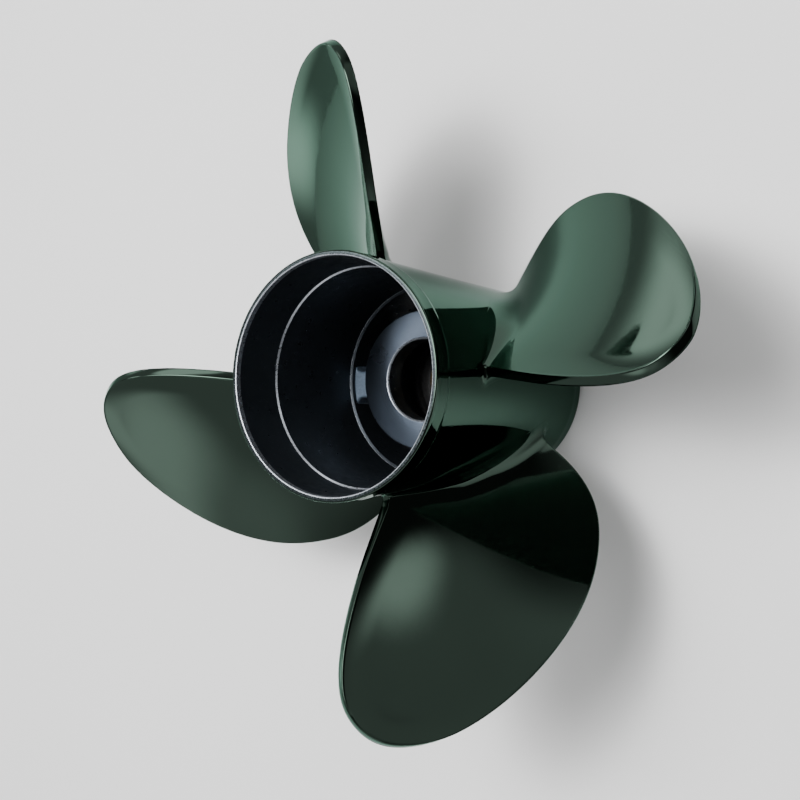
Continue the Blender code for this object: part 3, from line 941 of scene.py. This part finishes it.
class Nodes:
    """Short ways to build a material's node tree."""

    def __init__(self, name):
        self.material = bpy.data.materials.new(name)
        self.material.use_nodes = True
        self.tree = self.material.node_tree
        self.shader = self.tree.nodes["Principled BSDF"]
        self.coordinates = self.tree.nodes.new("ShaderNodeTexCoord").outputs["Object"]

    def constants(self, **values):
        """Sets plain values on the shader's own sockets."""
        for key, value in values.items():
            self.shader.inputs[key.replace("_", " ")].default_value = value

    def link(self, a, b):
        self.tree.links.new(a, b)

    def noise(self, scale, detail=3.0, roughness=0.5, vector=None):
        """Noise over the object, with the scale in waves a metre."""
        node = self.tree.nodes.new("ShaderNodeTexNoise")
        node.inputs["Scale"].default_value = scale
        node.inputs["Detail"].default_value = detail
        node.inputs["Roughness"].default_value = roughness
        self.link(vector or self.coordinates, node.inputs["Vector"])
        return node.outputs["Fac"]

    def ramp(self, value, low, high, start=0.3, end=0.7):
        """Maps a value from one range to another."""
        node = self.tree.nodes.new("ShaderNodeMapRange")
        node.inputs["From Min"].default_value = start
        node.inputs["From Max"].default_value = end
        node.inputs["To Min"].default_value = low
        node.inputs["To Max"].default_value = high
        self.link(value, node.inputs["Value"])
        return node.outputs["Result"]

    def mix(self, value, first, second):
        """A colour between two colours."""
        node = self.tree.nodes.new("ShaderNodeMix")
        node.data_type = "RGBA"
        node.inputs["A"].default_value = (*first, 1.0)
        node.inputs["B"].default_value = (*second, 1.0)
        self.link(value, node.inputs["Factor"])
        return node.outputs["Result"]

    def maths(self, kind, a, b):
        """Arithmetic on two values, each a socket or a number."""
        node = self.tree.nodes.new("ShaderNodeMath")
        node.operation = kind
        for socket, value in zip(node.inputs, (a, b)):
            if isinstance(value, (int, float)):
                socket.default_value = value
            else:
                self.link(value, socket)
        return node.outputs["Value"]

    def bump(self, value, distance, strength=1.0, after=None):
        """A bump of some height in metres, on top of another."""
        node = self.tree.nodes.new("ShaderNodeBump")
        node.inputs["Distance"].default_value = distance
        node.inputs["Strength"].default_value = strength
        self.link(value, node.inputs["Height"])
        if after is not None:
            self.link(after, node.inputs["Normal"])
        return node.outputs["Normal"]

    def radius(self):
        """Distance from the shaft axis."""
        split = self.tree.nodes.new("ShaderNodeSeparateXYZ")
        self.link(self.coordinates, split.inputs["Vector"])
        x2 = self.maths("MULTIPLY", split.outputs["X"], split.outputs["X"])
        y2 = self.maths("MULTIPLY", split.outputs["Y"], split.outputs["Y"])
        return self.maths("SQRT", self.maths("ADD", x2, y2), 0.0)


def gloss_paint():
    """Deep green black enamel over a smooth casting."""
    n = Nodes("gloss_paint")
    n.constants(Metallic=1.0, Specular_Tint=(0.60, 0.75, 0.68, 1.0))
    colour = n.mix(n.noise(14.0, 4.0), (0.030, 0.045, 0.036), (0.037, 0.055, 0.044))
    n.link(colour, n.shader.inputs["Base Color"])
    n.link(n.ramp(n.noise(420.0, 3.0), 0.035, 0.075), n.shader.inputs["Roughness"])
    waves = n.bump(n.noise(38.0, 2.0), 0.00004)
    n.link(n.bump(n.noise(650.0, 2.0), 0.0000025, after=waves), n.shader.inputs["Normal"])
    return n.material


def machined_metal():
    """Bright turned aluminium under a thin lacquer, on the rim and the shoulders."""
    n = Nodes("machined_metal")
    n.constants(Metallic=0.85, Coat_Weight=0.4, Coat_Roughness=0.15)
    colour = n.mix(n.noise(260.0, 4.0), (0.30, 0.33, 0.37), (0.52, 0.55, 0.60))
    n.link(colour, n.shader.inputs["Base Color"])
    n.link(n.ramp(n.noise(900.0, 3.0), 0.22, 0.42), n.shader.inputs["Roughness"])
    n.link(n.bump(n.noise(1800.0, 2.0), 0.00001), n.shader.inputs["Normal"])
    return n.material


def painted_rim():
    """Paint on the narrow aft face of the barrel, rubbed a little dull."""
    n = Nodes("painted_rim")
    n.constants(Metallic=1.0, Specular_Tint=(0.8, 0.9, 0.88, 1.0))
    colour = n.mix(n.noise(340.0, 4.0), (0.034, 0.043, 0.046), (0.070, 0.084, 0.088))
    n.link(colour, n.shader.inputs["Base Color"])
    n.link(n.ramp(n.noise(900.0, 3.0), 0.20, 0.36), n.shader.inputs["Roughness"])
    n.link(n.bump(n.noise(700.0, 3.0), 0.00001), n.shader.inputs["Normal"])
    return n.material


def dark_bore():
    """Thin dark paint over the inside of the casting, with specks of its skin."""
    n = Nodes("dark_bore")
    n.constants(Metallic=0.7, Specular_IOR_Level=0.5)
    specks = n.ramp(n.noise(1500.0, 5.0, 0.7), 0.0, 1.0, 0.62, 0.80)
    n.link(n.mix(specks, (0.030, 0.037, 0.045), (0.20, 0.25, 0.30)), n.shader.inputs["Base Color"])
    n.link(n.ramp(n.noise(240.0, 4.0), 0.26, 0.44), n.shader.inputs["Roughness"])
    skin = n.bump(n.noise(120.0, 3.0), 0.00008)
    n.link(n.bump(n.noise(1700.0, 3.0), 0.00002, after=skin), n.shader.inputs["Normal"])
    return n.material


def cast_skin():
    """Sandy cast skin of the ribs under thin blue grey paint."""
    n = Nodes("cast_skin")
    n.constants(Metallic=0.35, Specular_IOR_Level=0.6)
    colour = n.mix(n.noise(700.0, 5.0, 0.65), (0.055, 0.08, 0.115), (0.17, 0.23, 0.31))
    n.link(colour, n.shader.inputs["Base Color"])
    n.link(n.ramp(n.noise(300.0, 3.0), 0.36, 0.58), n.shader.inputs["Roughness"])
    n.link(n.bump(n.noise(420.0, 5.0, 0.65), 0.00022), n.shader.inputs["Normal"])
    return n.material


def turned_face():
    """Turned aft face of the hub, with fine rings that draw out the highlights."""
    n = Nodes("turned_face")
    n.constants(Metallic=1.0, Anisotropic=0.9)
    radius = n.radius()
    rings = n.maths("SINE", n.maths("MULTIPLY", radius, 2.0 * math.pi / RING_SPACING), 0.0)
    grooves = n.tree.nodes.new("ShaderNodeCombineXYZ")
    n.link(radius, grooves.inputs["X"])
    turned = n.noise(2600.0, 4.0, 0.7, grooves.outputs["Vector"])
    n.link(n.mix(turned, (0.036, 0.046, 0.062), (0.092, 0.112, 0.142)), n.shader.inputs["Base Color"])
    n.link(n.ramp(n.noise(60.0, 3.0), 0.27, 0.33), n.shader.inputs["Roughness"])
    n.link(n.bump(rings, 0.000006), n.shader.inputs["Normal"])
    tangent = n.tree.nodes.new("ShaderNodeTangent")
    tangent.direction_type = "RADIAL"
    tangent.axis = "Z"
    n.link(tangent.outputs["Tangent"], n.shader.inputs["Tangent"])
    return n.material


def soft_rubber():
    """Black rubber with a dusty bloom."""
    n = Nodes("soft_rubber")
    n.constants(Metallic=0.0, Specular_IOR_Level=0.35)
    colour = n.mix(n.noise(160.0, 4.0), (0.012, 0.012, 0.012), (0.03, 0.03, 0.031))
    n.link(colour, n.shader.inputs["Base Color"])
    n.link(n.ramp(n.noise(600.0, 4.0), 0.6, 0.9), n.shader.inputs["Roughness"])
    n.link(n.bump(n.noise(1400.0, 4.0), 0.00004), n.shader.inputs["Normal"])
    return n.material


def shade_darkened_brass():
    """Machined brass, its colour darkened as painted shade, so the sleeve is as dark as the shade deep in the
    bore.
    """
    n = Nodes("shade_darkened_brass")
    n.constants(Metallic=1.0)
    # Painted shade: the brass colours are darkened to stand for the shade deep inside the bore.
    colour = n.mix(n.noise(220.0, 5.0), (0.032, 0.024, 0.014), (0.10, 0.074, 0.038))
    n.link(colour, n.shader.inputs["Base Color"])
    n.link(n.ramp(n.noise(700.0, 3.0), 0.28, 0.5), n.shader.inputs["Roughness"])
    n.link(n.bump(n.noise(1600.0, 2.0), 0.00001), n.shader.inputs["Normal"])
    return n.material


def pale_floor():
    """Plain pale paper."""
    n = Nodes("pale_floor")
    n.constants(Roughness=0.9, Specular_IOR_Level=0.1)
    n.link(n.mix(n.noise(5.0, 3.0), (0.88, 0.88, 0.88), (0.90, 0.90, 0.90)), n.shader.inputs["Base Color"])
    return n.material


def add_camera():
    """Camera at the photograph's viewing angle."""
    data = bpy.data.cameras.new("camera")
    data.sensor_width = CAMERA_SENSOR
    data.lens = CAMERA_LENS
    data.shift_x, data.shift_y = CAMERA_SHIFT
    data.clip_start = 0.01
    data.clip_end = 20.0
    camera = bpy.data.objects.new("camera", data)
    camera.location = CAMERA_PLACE
    camera.rotation_euler = Euler([math.radians(a) for a in CAMERA_TURN_DEG], "XYZ")
    bpy.context.scene.collection.objects.link(camera)
    bpy.context.scene.camera = camera


def add_floor(surface):
    """Pale floor that the barrel's forward end stands on."""
    (left, near), (right, far) = FLOOR_FROM, FLOOR_TO
    mesh = bpy.data.meshes.new("floor")
    corners = [(left, near, 0), (right, near, 0), (right, far, 0), (left, far, 0)]
    mesh.from_pydata(corners, [], [(0, 1, 2, 3)])
    mesh.materials.append(surface)
    floor = bpy.data.objects.new("floor", mesh)
    bpy.context.scene.collection.objects.link(floor)


def fade_light(tree, core):
    """Makes a light full out to some share of its width, and fading to nothing at its edges."""
    emission = tree.nodes["Emission"]
    place = tree.nodes.new("ShaderNodeNewGeometry")
    centre = tree.nodes.new("ShaderNodeVectorMath")
    centre.operation = "SUBTRACT"
    centre.inputs[1].default_value = (0.5, 0.5, 0.0)
    tree.links.new(place.outputs["Parametric"], centre.inputs[0])
    size = tree.nodes.new("ShaderNodeVectorMath")
    size.operation = "LENGTH"
    tree.links.new(centre.outputs["Vector"], size.inputs[0])
    fade = tree.nodes.new("ShaderNodeMapRange")
    fade.interpolation_type = "SMOOTHERSTEP"
    fade.inputs["From Min"].default_value = 0.5
    fade.inputs["From Max"].default_value = 0.5 * core
    tree.links.new(size.outputs["Value"], fade.inputs["Value"])
    tree.links.new(fade.outputs["Result"], emission.inputs["Strength"])


def add_softbox(name, azimuth_deg, zenith_deg, half_width_deg, radiance, aspect, core, distance):
    """Soft light in some direction from the propeller."""
    azimuth = math.radians(azimuth_deg)
    zenith = math.radians(zenith_deg)
    sideways = math.sin(zenith)
    away = Vector((sideways * math.cos(azimuth), sideways * math.sin(azimuth), math.cos(zenith)))
    width = 2.0 * distance * math.tan(math.radians(half_width_deg))
    data = bpy.data.lights.new(name, "AREA")
    data.shape = "RECTANGLE"
    data.size = width
    data.size_y = width * aspect
    data.energy = radiance * math.pi * data.size * data.size_y
    data.use_nodes = True
    fade_light(data.node_tree, core)
    light = bpy.data.objects.new(name, data)
    light.location = Vector(LIGHT_TARGET) + away * distance
    light.rotation_euler = away.to_track_quat("Z", "Y").to_euler()
    light.visible_camera = False
    bpy.context.scene.collection.objects.link(light)


def add_world():
    """Surround that is pale on one side, and dark on the other and overhead."""
    world = bpy.data.worlds.new("studio")
    world.use_nodes = True
    tree = world.node_tree
    background = tree.nodes["Background"]
    coordinates = tree.nodes.new("ShaderNodeTexCoord")
    fades = []
    for axis, start, end, low, high in (
        (WORLD_AXIS, WORLD_DARK_FROM, WORLD_PALE_FROM, WORLD_DARK, WORLD_PALE),
        ((0.0, 0.0, 1.0), WORLD_TOP_FROM, WORLD_SIDE_FROM, WORLD_TOP, 1.0),
    ):
        along = tree.nodes.new("ShaderNodeVectorMath")
        along.operation = "DOT_PRODUCT"
        along.inputs[1].default_value = axis
        tree.links.new(coordinates.outputs["Generated"], along.inputs[0])
        fade = tree.nodes.new("ShaderNodeMapRange")
        fade.interpolation_type = "SMOOTHSTEP"
        fade.inputs["From Min"].default_value = start
        fade.inputs["From Max"].default_value = end
        fade.inputs["To Min"].default_value = low
        fade.inputs["To Max"].default_value = high
        tree.links.new(along.outputs["Value"], fade.inputs["Value"])
        fades.append(fade.outputs["Result"])
    both = tree.nodes.new("ShaderNodeMath")
    both.operation = "MULTIPLY"
    tree.links.new(fades[0], both.inputs[0])
    tree.links.new(fades[1], both.inputs[1])
    tree.links.new(both.outputs["Value"], background.inputs["Strength"])
    background.inputs["Color"].default_value = (1.0, 1.0, 1.0, 1.0)
    bpy.context.scene.world = world


def main():
    """Builds the pieces and the studio."""
    add_camera()
    paint = gloss_paint()
    dark = dark_bore()
    machined = machined_metal()
    build_barrel(paint, machined, dark, painted_rim())
    build_blades(paint)
    build_hub(turned_face(), dark, machined)
    cast = cast_skin()
    for index, angle in enumerate(RIB_ANGLES_DEG):
        build_rib("cast_rib_" + str(index + 1), "rib_" + str(index + 1), angle, cast)
    build_bush(soft_rubber())
    build_sleeve(shade_darkened_brass())
    add_floor(pale_floor())
    add_world()
    for light in SOFTBOXES:
        add_softbox(*light)


main()
